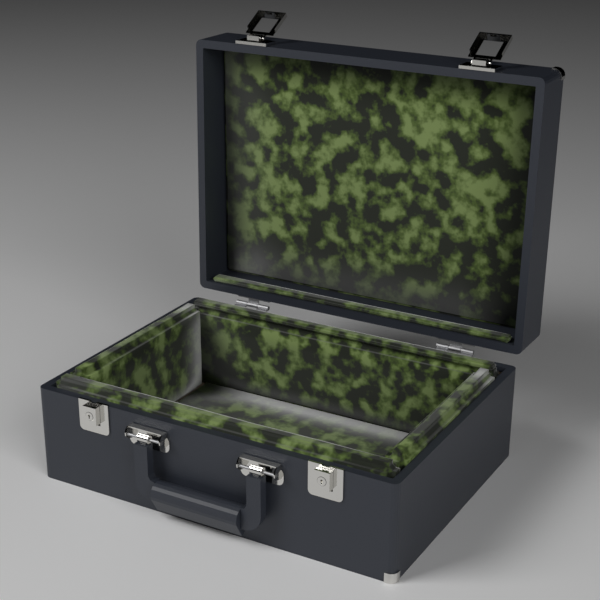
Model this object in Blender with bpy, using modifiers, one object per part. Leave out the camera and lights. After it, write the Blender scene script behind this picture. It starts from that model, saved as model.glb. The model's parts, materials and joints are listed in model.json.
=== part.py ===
"""Horn case with a hinged lid, lever locks, hasps and a carrying handle. Metres, +Z up."""
import math

import bmesh
import bpy
from mathutils import Vector

# Sizes in millimetres
MM = 0.001
CASE_W = 380.0
CASE_D = 274.0
BASE_H = 97.0
LID_H = 52.0
CLOSE_GAP = 2.4
CORNER_R = 6.0
COVER_T = 0.8
GAP = 0.3
WALL_T = 6.3
BOARD_T = 4.0
PAD_T = 22.0
PAD_RISE = 9.0
PAD_FLOOR_T = 7.6
REAR_PAD_DROP = 2.0
HINGE_BEHIND = 7.5
HINGE_RISE = 1.2
LID_OPEN = 91.0
HASP_OPEN = 150.0
LOCK_X = 123.0
LOCK_W = 34.0
HANDLE_X = 60.0
HINGE_X = 120.0
HANDLE_PIN_S = 9.5
HANDLE_PIN_Z = 80.0

# Places that follow from the sizes
HW = CASE_W / 2
HD = CASE_D / 2
FRONT = -HD
BOARD_IN = COVER_T + GAP
INNER_IN = BOARD_IN + WALL_T + GAP
LINE_IN = INNER_IN + COVER_T
PAD_IN = LINE_IN + GAP
RIM = BASE_H + CLOSE_GAP
LID_TOP = RIM + LID_H
HINGE_Y = HD + HINGE_BEHIND
HINGE_Z = BASE_H + HINGE_RISE
BOARD_Z = BOARD_IN + BOARD_T + GAP
HASP_S = 5.6
HASP_Y = FRONT - HASP_S
HASP_Z = RIM + 10.2

MATERIALS = {
    "leatherette": ((0.034, 0.039, 0.052), 0.45, 0.0),
    "nickel": ((0.72, 0.71, 0.68), 0.22, 1.0),
    "steel": ((0.45, 0.45, 0.46), 0.4, 1.0),
    "board": ((0.32, 0.25, 0.18), 0.9, 0.0),
    "plush": ((0.10, 0.16, 0.045), 1.0, 0.0),
}


def clear_scene():
    for obj in list(bpy.data.objects):
        bpy.data.objects.remove(obj, do_unlink=True)


def collection(name):
    found = bpy.data.collections.new(name)
    bpy.context.scene.collection.children.link(found)
    return found


def material(name):
    mat = bpy.data.materials.get(name)
    if mat is None:
        color, rough, metal = MATERIALS[name]
        mat = bpy.data.materials.new(name)
        mat.use_nodes = True
        shader = mat.node_tree.nodes["Principled BSDF"]
        shader.inputs["Base Color"].default_value = (*color, 1.0)
        shader.inputs["Roughness"].default_value = rough
        shader.inputs["Metallic"].default_value = metal
    return mat


def prism(points, axis, lo, hi):
    """A closed prism: points are in the two other axes, in order."""
    def place(p, t):
        if axis == "x":
            return Vector((t, p[0], p[1]))
        if axis == "y":
            return Vector((p[0], t, p[1]))
        return Vector((p[0], p[1], t))
    bm = bmesh.new()
    low = [bm.verts.new(place(p, lo)) for p in points]
    high = [bm.verts.new(place(p, hi)) for p in points]
    bm.faces.new(low)
    bm.faces.new(high)
    count = len(points)
    for i in range(count):
        j = (i + 1) % count
        bm.faces.new((low[i], low[j], high[j], high[i]))
    bmesh.ops.recalc_face_normals(bm, faces=bm.faces)
    return bm


def box(x0, x1, y0, y1, z0, z1):
    return prism([(x0, y0), (x1, y0), (x1, y1), (x0, y1)], "z", z0, z1)


def arc(cx, cy, r, start, end, steps):
    out = []
    for i in range(steps + 1):
        a = math.radians(start + (end - start) * i / steps)
        out.append((cx + r * math.cos(a), cy + r * math.sin(a)))
    return out


def round_rect(x0, x1, y0, y1, r, steps=4):
    out = arc(x1 - r, y1 - r, r, 0, 90, steps)
    out += arc(x0 + r, y1 - r, r, 90, 180, steps)
    out += arc(x0 + r, y0 + r, r, 180, 270, steps)
    out += arc(x1 - r, y0 + r, r, 270, 360, steps)
    return out


def outline(inset, z0, z1):
    r = max(CORNER_R - inset, 1.0)
    points = round_rect(-HW + inset, HW - inset, -HD + inset, HD - inset, r)
    return prism(points, "z", z0, z1)


def rod(axis, a, b, r, lo, hi, sides=20):
    return prism(arc(a, b, r, 0, 360 - 360 / sides, sides - 1), axis, lo, hi)


def mesh_object(name, bm, pivot, parent, group):
    bmesh.ops.translate(bm, verts=bm.verts, vec=-Vector(pivot))
    bmesh.ops.scale(bm, verts=bm.verts, vec=(MM, MM, MM))
    mesh = bpy.data.meshes.new(name)
    bm.to_mesh(mesh)
    bm.free()
    obj = bpy.data.objects.new(name, mesh)
    group.objects.link(obj)
    home = Vector((0, 0, 0))
    if parent is not None:
        obj.parent = parent
        home = Vector(parent["home"])
    obj.location = (Vector(pivot) - home) * MM
    return obj


def pivot_empty(name, home, degrees, parent, group):
    obj = bpy.data.objects.new(name, None)
    obj.empty_display_size = 0.02
    group.objects.link(obj)
    start = Vector((0, 0, 0))
    if parent is not None:
        obj.parent = parent
        start = Vector(parent["home"])
    obj["home"] = home
    obj.location = (Vector(home) - start) * MM
    obj.rotation_euler = (math.radians(degrees), 0, 0)
    return obj


def piece(name, slot, start, steps=(), pivot=None, parent=None, bevel=0.0):
    if pivot is None:
        pivot = parent["home"] if parent is not None else (0, 0, 0)
    obj = mesh_object(name, start, pivot, parent, PARTS)
    obj.data.materials.append(material(slot))
    for number, (operation, bm) in enumerate(steps):
        cutter = mesh_object(f"{name}_cut{number}", bm, pivot, parent, CUTTERS)
        cutter.hide_render = True
        cutter.display_type = "WIRE"
        mod = obj.modifiers.new(f"{operation.lower()} {number}", "BOOLEAN")
        mod.operation = operation
        mod.solver = "EXACT"
        mod.object = cutter
    if bevel:
        mod = obj.modifiers.new("edges", "BEVEL")
        mod.width = bevel * MM
        mod.segments = 2
        mod.limit_method = "ANGLE"
        mod.angle_limit = math.radians(50)
    return obj


def both_sides(x):
    return (("left", -x), ("right", x))


def build_base():
    pocket = []
    for _, x in both_sides(LOCK_X):
        pocket.append(("DIFFERENCE", box(x - 11, x + 11, FRONT - 1, FRONT + 5.3, 71, 94)))
    piece("base_bottom_covering", "leatherette", outline(0, 0, COVER_T))
    piece("base_bottom_board", "board", outline(BOARD_IN, BOARD_IN, BOARD_IN + BOARD_T))
    top = BASE_H - COVER_T - GAP
    wall_boards("base", BOARD_Z, top, None, pocket)
    cup = outline(0, BOARD_IN, BASE_H)
    steps = [
        ("DIFFERENCE", outline(COVER_T, 0, BASE_H - COVER_T)),
        ("UNION", outline(INNER_IN, BASE_H - 5, BASE_H - 0.5)),
        ("DIFFERENCE", outline(LINE_IN, BASE_H - 7, BASE_H + 1)),
    ]
    for _, x in both_sides(LOCK_X):
        steps.append(("DIFFERENCE", box(x - 11, x + 11, FRONT - 1, FRONT + 5.3, 71, 94)))
    piece("base_side_covering", "leatherette", cup, steps)


def wall_boards(prefix, z0, z1, parent, front_steps=()):
    ax = HW - BOARD_IN
    ay = HD - BOARD_IN
    r = CORNER_R - BOARD_IN
    front = [(-ax, -ay + WALL_T), (ax, -ay + WALL_T)] + arc(ax - r, -ay + r, r, 0, -90, 4)
    front += arc(-ax + r, -ay + r, r, 270, 180, 4)
    rear = [(p[0], -p[1]) for p in front]
    piece(f"{prefix}_front_board", "board", prism(front, "z", z0, z1), front_steps, parent=parent)
    piece(f"{prefix}_rear_board", "board", prism(rear, "z", z0, z1), parent=parent)
    y = ay - WALL_T - GAP
    piece(f"{prefix}_left_board", "board", box(-ax, -ax + WALL_T, -y, y, z0, z1), parent=parent)
    piece(f"{prefix}_right_board", "board", box(ax - WALL_T, ax, -y, y, z0, z1), parent=parent)


def build_pads():
    ax = HW - PAD_IN
    ay = HD - PAD_IN
    ix = ax - PAD_T - GAP
    iy = ay - PAD_T - GAP
    top = BASE_H + PAD_RISE
    rear_top = BASE_H + REAR_PAD_DROP
    piece("pad_front", "plush", box(-ax, ax, -ay, -ay + PAD_T, BOARD_Z, top), bevel=4)
    piece("pad_rear", "plush", box(-ax, ax, ay - PAD_T, ay, BOARD_Z, rear_top), bevel=2)
    piece("pad_left", "plush", box(-ax, -ax + PAD_T, -iy, iy, BOARD_Z, top), bevel=4)
    piece("pad_right", "plush", box(ax - PAD_T, ax, -iy, iy, BOARD_Z, top), bevel=4)
    floor_top = BOARD_Z + PAD_FLOOR_T
    piece("pad_floor", "plush", box(-ix, ix, -iy, iy, BOARD_Z, floor_top), bevel=2)
    roll = box(-175, 175, ay - 21, ay - 8.2, rear_top + GAP, rear_top + 7)
    piece("lining_roll", "plush", roll, bevel=2.5)


def build_locks():
    for side, x in both_sides(LOCK_X):
        w = LOCK_W / 2
        points = [(x + w, BASE_H + 1.1), (x - w, BASE_H + 1.1)]
        points += arc(x - w + 4.5, 70.8, 4.5, 180, 270, 4)
        points += arc(x + w - 4.5, 70.8, 4.5, 270, 360, 4)
        plate = prism(points, "y", FRONT - 1.5, FRONT - 0.3)
        steps = [
            ("UNION", box(x - w, x + w, FRONT - 1.2, FRONT + 1, BASE_H + 0.3, BASE_H + 1.1)),
            ("DIFFERENCE", box(x - 3.5, x + 3.5, FRONT - 3, FRONT + 3, BASE_H + 0.1, BASE_H + 3)),
            ("DIFFERENCE", box(x - 7.25, x + 7.25, FRONT - 3, FRONT + 3, 74.6, 77.2)),
            ("DIFFERENCE", box(x - 4.2, x + 4.2, FRONT - 3, FRONT + 3, 79.7, 89.3)),
        ]
        piece(f"lock_plate_{side}", "nickel", plate, steps)
        slide = box(x - 7.5, x + 7.5, FRONT - 8, FRONT - 1.8, 77.6, 95.3)
        steps = [
            ("UNION", box(x - 3.9, x + 3.9, FRONT - 2.5, FRONT + 2, 80, 87)),
            ("UNION", box(x - 8, x + 8, FRONT, FRONT + 4, 79, 87.5)),
            ("UNION", box(x - 2.5, x + 2.5, FRONT, FRONT + 0.8, 75.2, 79.5)),
            ("DIFFERENCE", rod("y", x, 86, 4.5, FRONT - 9, FRONT - 4, 24)),
        ]
        piece(f"lock_slide_{side}", "nickel", slide, steps, pivot=(x, FRONT - 1.8, 86))
        plug = rod("y", x, 86, 4.2, FRONT - 8.3, FRONT - 4.3, 24)
        steps = [
            ("DIFFERENCE", rod("y", x, 86.6, 1.2, FRONT - 9, FRONT - 6, 12)),
            ("DIFFERENCE", box(x - 0.5, x + 0.5, FRONT - 9, FRONT - 6, 83.4, 86.6)),
        ]
        piece(f"key_plug_{side}", "nickel", plug, steps, pivot=(x, FRONT - 6, 86))


def build_hasps(lid):
    for side, x in both_sides(LOCK_X):
        tray = box(x - 18, x + 18, FRONT - 3.3, FRONT - 0.3, RIM - 0.9, RIM + 18.5)
        inner = box(x - 17.2, x + 17.2, FRONT - 2.5, FRONT + 1, RIM - 0.1, RIM + 17.7)
        steps = [
            ("DIFFERENCE", inner),
            ("UNION", box(x - 7, x + 7, FRONT - 8.8, FRONT - 2.6, RIM + 3.6, RIM + 13.8)),
            ("DIFFERENCE", rod("x", HASP_Y, HASP_Z, 1.4, x - 8, x + 8, 16)),
        ]
        piece(f"hasp_tray_{side}", "nickel", tray, steps, parent=lid)
        pin = rod("x", HASP_Y, HASP_Z, 1.1, x - 9.9, x + 9.9, 16)
        piece(f"hasp_pin_{side}", "steel", pin, parent=lid)
        pivot = pivot_empty(f"hasp_pivot_{side}", (x, HASP_Y, HASP_Z), -HASP_OPEN, lid, PARTS)
        face = HASP_Y
        top = HASP_Z - 7.2
        tip = HASP_Z - 39
        loop = box(x - 16.5, x + 16.5, face - 1, face, tip, top)
        steps = [("DIFFERENCE", box(x - 10, x + 10, face - 2, face + 1, HASP_Z - 33, HASP_Z - 10.5))]
        for s in (-1, 1):
            a = min(x + s * 7.4, x + s * 9.4)
            steps.append(("UNION", rod("x", HASP_Y, HASP_Z, 2.0, a, a + 2, 16)))
            steps.append(("UNION", box(a, a + 2, face - 1, face + 1, HASP_Z - 8.5, HASP_Z)))
            b = min(x + s * 15.5, x + s * 16.5)
            steps.append(("UNION", box(b, b + 1, face - 0.5, face + 3.6, tip, HASP_Z - 12.4)))
        steps.append(("UNION", box(x - 16.4, x + 16.4, face - 0.5, face + 3.6, tip, tip + 1)))
        steps.append(("UNION", box(x - 6.5, x + 6.5, face - 0.5, face + 7.3, HASP_Z - 34, HASP_Z - 33)))
        slot = box(x - 3.25, x + 3.25, face + 4.4, face + 6.8, HASP_Z - 35, HASP_Z - 32)
        steps.append(("DIFFERENCE", slot))
        steps.append(("DIFFERENCE", rod("x", HASP_Y, HASP_Z, 1.4, x - 12, x + 12, 16)))
        piece(f"hasp_loop_{side}", "nickel", loop, steps, parent=pivot)


def build_lid(lid):
    top_board = LID_TOP - COVER_T - GAP - BOARD_T
    piece("lid_top_covering", "leatherette", outline(0, LID_TOP - COVER_T, LID_TOP), parent=lid)
    board = outline(BOARD_IN, top_board, top_board + BOARD_T)
    piece("lid_top_board", "board", board, parent=lid)
    wall_boards("lid", RIM + COVER_T + GAP, top_board - GAP, lid)
    steps = [
        ("DIFFERENCE", outline(COVER_T, RIM + COVER_T, LID_TOP + 1)),
        ("UNION", outline(INNER_IN, RIM + 0.5, top_board - 2 * GAP)),
        ("DIFFERENCE", outline(LINE_IN, RIM - 1, LID_TOP + 1)),
    ]
    side = outline(0, RIM, LID_TOP - COVER_T - GAP)
    piece("lid_side_covering", "leatherette", side, steps, parent=lid)
    ax = HW - PAD_IN
    ay = HD - PAD_IN
    panel = box(-ax, ax, -ay, ay, top_board - GAP - 6.5, top_board - GAP)
    piece("lid_lining_panel", "plush", panel, parent=lid, bevel=1.5)
    fold = box(-175, 175, ay - 5.6, ay - GAP, RIM + 1.8, RIM + 14.5)
    piece("lining_fold", "plush", fold, parent=lid, bevel=1.5)


def build_hinges(lid):
    for side, x in both_sides(HINGE_X):
        leaf = box(x - 20, x + 20, HD + 0.3, HD + 1.3, 70, BASE_H - 0.3)
        steps = []
        for a in (x - 20, x + 7):
            steps.append(("UNION", box(a, a + 13, HD + 0.4, HINGE_Y, BASE_H - 1.3, BASE_H - 0.3)))
            steps.append(("UNION", rod("x", HINGE_Y, HINGE_Z, 2.5, a, a + 13)))
        steps.append(("DIFFERENCE", rod("x", HINGE_Y, HINGE_Z, 1.5, x - 21, x + 21)))
        piece(f"hinge_base_leaf_{side}", "steel", leaf, steps)
        pin = rod("x", HINGE_Y, HINGE_Z, 1.2, x - 20.5, x + 20.5)
        piece(f"hinge_pin_{side}", "steel", pin)
        leaf = box(x - 20, x + 20, HD + 0.3, HD + 1.3, RIM + 0.3, RIM + 25.6)
        steps = [
            ("UNION", box(x - 6.5, x + 6.5, HD + 0.4, HINGE_Y, RIM + 0.3, RIM + 1.3)),
            ("UNION", rod("x", HINGE_Y, HINGE_Z, 2.5, x - 6.5, x + 6.5)),
            ("DIFFERENCE", rod("x", HINGE_Y, HINGE_Z, 1.5, x - 7, x + 7)),
        ]
        piece(f"hinge_lid_leaf_{side}", "steel", leaf, steps, parent=lid)


def build_handle():
    for side, x in both_sides(HANDLE_X):
        points = round_rect(x - 22, x + 22, 66, 83, 6)
        plate = prism(points, "y", FRONT - 1.5, FRONT - 0.3)
        profile = [(0.5, 73), (4, 73.5), (9, 75), (12, 78.5), (12.5, 82), (11, 85.5), (8, 87.4)]
        profile += [(0.5, 87.4)]
        cheek = [(FRONT - s, z) for s, z in profile]
        steps = []
        for s in (-1, 1):
            a = min(x + s * 18.3, x + s * 19.5)
            steps.append(("UNION", prism(cheek, "x", a, a + 1.2)))
        steps.append(("UNION", box(x - 19.4, x + 19.4, FRONT - 7.9, FRONT - 1, 86.2, 87.3)))
        bore = rod("x", FRONT - HANDLE_PIN_S, HANDLE_PIN_Z, 1.8, x - 22, x + 22, 16)
        steps.append(("DIFFERENCE", bore))
        piece(f"handle_bracket_{side}", "nickel", plate, steps)
        pin = rod("x", FRONT - HANDLE_PIN_S, HANDLE_PIN_Z, 1.5, x - 20, x + 20, 16)
        piece(f"handle_pin_{side}", "steel", pin)
    y = FRONT - HANDLE_PIN_S
    home = (0, y, HANDLE_PIN_Z)
    core = box(-63, 63, FRONT - 12, FRONT - 8.3, 27, 33)
    steps = []
    for _, x in both_sides(HANDLE_X):
        steps.append(("UNION", box(x - 3, x + 3, FRONT - 11.9, FRONT - 8.4, 27.1, 79)))
        steps.append(("UNION", rod("x", y, HANDLE_PIN_Z, 4, x - 6, x + 6)))
    steps.append(("DIFFERENCE", rod("x", y, HANDLE_PIN_Z, 1.8, -70, 70)))
    piece("handle_core", "nickel", core, steps, pivot=home)
    for side, s in (("left", -1), ("right", 1)):
        leg = [(67.3, 75.5)] + arc(49.3, 38, 18, 0, -90, 6) + [(46.3, 20), (46.3, 41)]
        leg += [(50.5, 42), (52.7, 46), (52.7, 75.5)]
        leg = [(s * a, b) for a, b in leg]
        a, b = sorted((s * 56.7, s * 63.3))
        c, d = sorted((s * 46, s * 63.3))
        steps = [
            ("DIFFERENCE", box(a, b, FRONT - 12.3, FRONT - 8, 26.7, 80)),
            ("DIFFERENCE", box(c, d, FRONT - 12.3, FRONT - 8, 26.7, 33.3)),
        ]
        sleeve = prism(leg, "y", FRONT - 16, FRONT - 7)
        piece(f"handle_sleeve_{side}", "leatherette", sleeve, steps, pivot=home)
    grip = arc(FRONT - 12, 30, 11, -20, 200, 12) + [(FRONT - 13.2, 11), (FRONT - 10.8, 11)]
    channel = box(-50, 50, FRONT - 12.3, FRONT - 8, 26.7, 33.3)
    piece("handle_grip", "leatherette", prism(grip, "x", -46, 46), [("DIFFERENCE", channel)], home)


def build_caps(lid):
    for name, z0, z1, parent in (
        ("corner_cap_base", 0.3, 10.0, None),
        ("corner_cap_lid", LID_TOP - 10, LID_TOP - 0.2, lid),
    ):
        steps = [
            ("INTERSECT", box(HW - 9, HW + 5, -HD - 5, -HD + 9, z0, z1)),
            ("DIFFERENCE", outline(-0.3, z0 - 1, z1 + 1)),
        ]
        piece(name, "nickel", outline(-1.4, z0 - 0.2, z1 + 0.2), steps, parent=parent)


clear_scene()
PARTS = collection("horn_case")
CUTTERS = collection("cutters")
LID = pivot_empty("lid_pivot", (0, HINGE_Y, HINGE_Z), -LID_OPEN, None, PARTS)
build_base()
build_pads()
build_locks()
build_handle()
build_hinges(LID)
build_lid(LID)
build_hasps(LID)
build_caps(LID)
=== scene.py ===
"""Looks for the horn case: plush padding over the CAD frame, covering and a white floor."""
import json
import math

import bmesh
import bpy
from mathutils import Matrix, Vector, noise

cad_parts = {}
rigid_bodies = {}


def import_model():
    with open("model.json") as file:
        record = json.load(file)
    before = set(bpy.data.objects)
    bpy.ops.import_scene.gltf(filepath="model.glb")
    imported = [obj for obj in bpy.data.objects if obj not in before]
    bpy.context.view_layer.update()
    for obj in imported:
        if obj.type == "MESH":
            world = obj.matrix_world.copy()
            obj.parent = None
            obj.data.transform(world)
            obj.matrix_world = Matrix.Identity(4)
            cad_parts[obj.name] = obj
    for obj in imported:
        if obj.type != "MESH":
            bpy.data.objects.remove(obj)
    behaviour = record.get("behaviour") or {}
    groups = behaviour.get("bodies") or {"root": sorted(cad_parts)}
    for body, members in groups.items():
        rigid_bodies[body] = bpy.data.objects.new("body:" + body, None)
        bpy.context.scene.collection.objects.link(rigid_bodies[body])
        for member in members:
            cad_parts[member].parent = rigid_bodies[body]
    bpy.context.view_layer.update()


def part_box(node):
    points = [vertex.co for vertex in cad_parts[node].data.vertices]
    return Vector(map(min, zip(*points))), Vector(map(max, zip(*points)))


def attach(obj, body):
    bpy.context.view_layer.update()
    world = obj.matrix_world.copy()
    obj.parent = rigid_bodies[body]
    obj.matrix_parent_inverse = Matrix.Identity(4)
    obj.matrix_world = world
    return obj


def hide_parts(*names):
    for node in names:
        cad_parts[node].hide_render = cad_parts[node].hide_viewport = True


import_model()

bl_info = {
    "name": "Horn case looks",
    "version": (1, 0, 0),
    "blender": (4, 5, 0),
    "location": "View3D > Sidebar > Horn Case",
    "description": "Builds the padding, finishes and floor of a horn case",
    "category": "Object",
}

PADS = (
    ("pad_front", "base"),
    ("pad_rear", "base"),
    ("pad_left", "base"),
    ("pad_right", "base"),
    ("pad_floor", "base"),
    ("lining_roll", "base"),
    ("lid_lining_panel", "lid"),
    ("lining_fold", "lid"),
)


def rgb(text):
    """A hex sRGB colour as linear RGBA."""
    parts = [int(text[i:i + 2], 16) / 255 for i in (1, 3, 5)]
    linear = [c / 12.92 if c <= 0.04045 else ((c + 0.055) / 1.055) ** 2.4 for c in parts]
    return (*linear, 1.0)


def new_material(name):
    mat = bpy.data.materials.new(name)
    mat.use_nodes = True
    return mat, mat.node_tree, mat.node_tree.nodes["Principled BSDF"]


def plush_material():
    mat, tree, shader = new_material("plush")
    coord = tree.nodes.new("ShaderNodeTexCoord")
    blobs = tree.nodes.new("ShaderNodeTexNoise")
    blobs.inputs["Scale"].default_value = 55.0
    blobs.inputs["Detail"].default_value = 3.0
    ramp = tree.nodes.new("ShaderNodeValToRGB")
    ramp.color_ramp.elements[0].position = 0.44
    ramp.color_ramp.elements[0].color = rgb("#1c2214")
    ramp.color_ramp.elements[1].position = 0.62
    ramp.color_ramp.elements[1].color = rgb("#84985a")
    middle = ramp.color_ramp.elements.new(0.52)
    middle.color = rgb("#506428")
    tree.links.new(coord.outputs["Object"], blobs.inputs["Vector"])
    tree.links.new(blobs.outputs["Fac"], ramp.inputs["Fac"])
    tree.links.new(ramp.outputs["Color"], shader.inputs["Base Color"])
    shader.inputs["Roughness"].default_value = 1.0
    shader.inputs["Sheen Weight"].default_value = 0.5
    return mat


def grain_material():
    mat, tree, shader = new_material("leatherette")
    shader.inputs["Base Color"].default_value = rgb("#343841")
    shader.inputs["Roughness"].default_value = 0.45
    coord = tree.nodes.new("ShaderNodeTexCoord")
    grain = tree.nodes.new("ShaderNodeTexVoronoi")
    grain.inputs["Scale"].default_value = 700.0
    bump = tree.nodes.new("ShaderNodeBump")
    bump.inputs["Strength"].default_value = 0.3
    bump.inputs["Distance"].default_value = 0.0003
    tree.links.new(coord.outputs["Object"], grain.inputs["Vector"])
    tree.links.new(grain.outputs["Distance"], bump.inputs["Height"])
    tree.links.new(bump.outputs["Normal"], shader.inputs["Normal"])
    return mat


def pad_mesh(name, low, high):
    """A rounded box with slightly uneven sides, inside the CAD box."""
    size = high - low
    centre = (low + high) / 2
    bm = bmesh.new()
    bmesh.ops.create_cube(bm, size=1.0)
    bmesh.ops.scale(bm, verts=bm.verts, vec=size)
    edges = list(bm.edges)
    bmesh.ops.bevel(bm, geom=edges, offset=min(size) * 0.3, segments=3, affect="EDGES")
    bmesh.ops.subdivide_edges(bm, edges=list(bm.edges), cuts=4, use_grid_fill=True)
    for vert in bm.verts:
        dent = 0.5 + 0.5 * noise.noise((vert.co + centre) * 60.0)
        vert.co -= vert.co.normalized() * 0.0015 * dent
    bmesh.ops.translate(bm, verts=bm.verts, vec=centre)
    mesh = bpy.data.meshes.new(name)
    bm.to_mesh(mesh)
    bm.free()
    for polygon in mesh.polygons:
        polygon.use_smooth = True
    return mesh


class CaseProps(bpy.types.PropertyGroup):
    """Values a user may change."""
    fill: bpy.props.FloatProperty(
        name="Pad fill", description="How full the pads are", default=0.8, min=0.0, max=1.0
    )


class CASE_OT_pads(bpy.types.Operator):
    """Build the plush pads and lining."""
    bl_idname = "case.pads"
    bl_label = "Pads"

    def execute(self, context):
        plush = plush_material()
        for node, body in PADS:
            low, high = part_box(node)
            mesh = pad_mesh(f"soft_{node}", Vector(low), Vector(high))
            obj = bpy.data.objects.new(f"soft_{node}", mesh)
            context.scene.collection.objects.link(obj)
            mesh.materials.append(plush)
            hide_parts(node)
            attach(obj, body)
        return {"FINISHED"}


class CASE_OT_covering(bpy.types.Operator):
    """Give the covering and handle their grained finish."""
    bl_idname = "case.covering"
    bl_label = "Covering"

    def execute(self, context):
        grain = grain_material()
        for obj in bpy.data.objects:
            named = "covering" in obj.name or obj.name.startswith(("handle_grip", "handle_sleeve"))
            if obj.type == "MESH" and named:
                obj.data.materials.clear()
                obj.data.materials.append(grain)
        return {"FINISHED"}


class CASE_OT_stage(bpy.types.Operator):
    """Add a white floor."""
    bl_idname = "case.stage"
    bl_label = "Stage"

    def execute(self, context):
        bpy.ops.mesh.primitive_plane_add(size=8.0, location=(0, 0, 0))
        floor = context.object
        floor.name = "floor"
        mat, _, shader = new_material("floor")
        shader.inputs["Base Color"].default_value = rgb("#ffffff")
        floor.data.materials.append(mat)
        for name, energy, place in (("key", 30, (-1.2, -1.5, 1.8)), ("fill", 15, (1.6, -1.0, 1.2))):
            light = bpy.data.lights.new(name, "AREA")
            light.energy = energy
            light.size = 1.2
            lamp = bpy.data.objects.new(name, light)
            lamp.location = place
            aim = Vector((0, 0, 0.15)) - lamp.location
            lamp.rotation_euler = aim.to_track_quat("-Z", "Y").to_euler()
            context.scene.collection.objects.link(lamp)
        data = bpy.data.cameras.new("camera")
        data.lens = 79.5
        data.shift_x = 0.0305
        data.shift_y = 0.1013
        camera = bpy.data.objects.new("camera", data)
        camera.location = (0.5849, -1.0118, 0.6373)
        camera.rotation_euler = (math.radians(90 - 24.12), 0, math.radians(30.03))
        context.scene.collection.objects.link(camera)
        context.scene.camera = camera
        context.scene.view_settings.view_transform = "Standard"
        return {"FINISHED"}


class CASE_PT_panel(bpy.types.Panel):
    """Steps that build the looks."""
    bl_label = "Horn Case"
    bl_idname = "CASE_PT_panel"
    bl_space_type = "VIEW_3D"
    bl_region_type = "UI"
    bl_category = "Horn Case"

    def draw(self, context):
        self.layout.prop(context.scene.case_props, "fill")
        for operator in ("case.pads", "case.covering", "case.stage"):
            self.layout.operator(operator)


CLASSES = (CaseProps, CASE_OT_pads, CASE_OT_covering, CASE_OT_stage, CASE_PT_panel)


def register():
    for item in CLASSES:
        bpy.utils.register_class(item)
    bpy.types.Scene.case_props = bpy.props.PointerProperty(type=CaseProps)


def unregister():
    del bpy.types.Scene.case_props
    for item in reversed(CLASSES):
        bpy.utils.unregister_class(item)


def main():
    register()
    bpy.ops.case.pads()
    bpy.ops.case.covering()
    bpy.ops.case.stage()


if __name__ == "__main__":
    main()
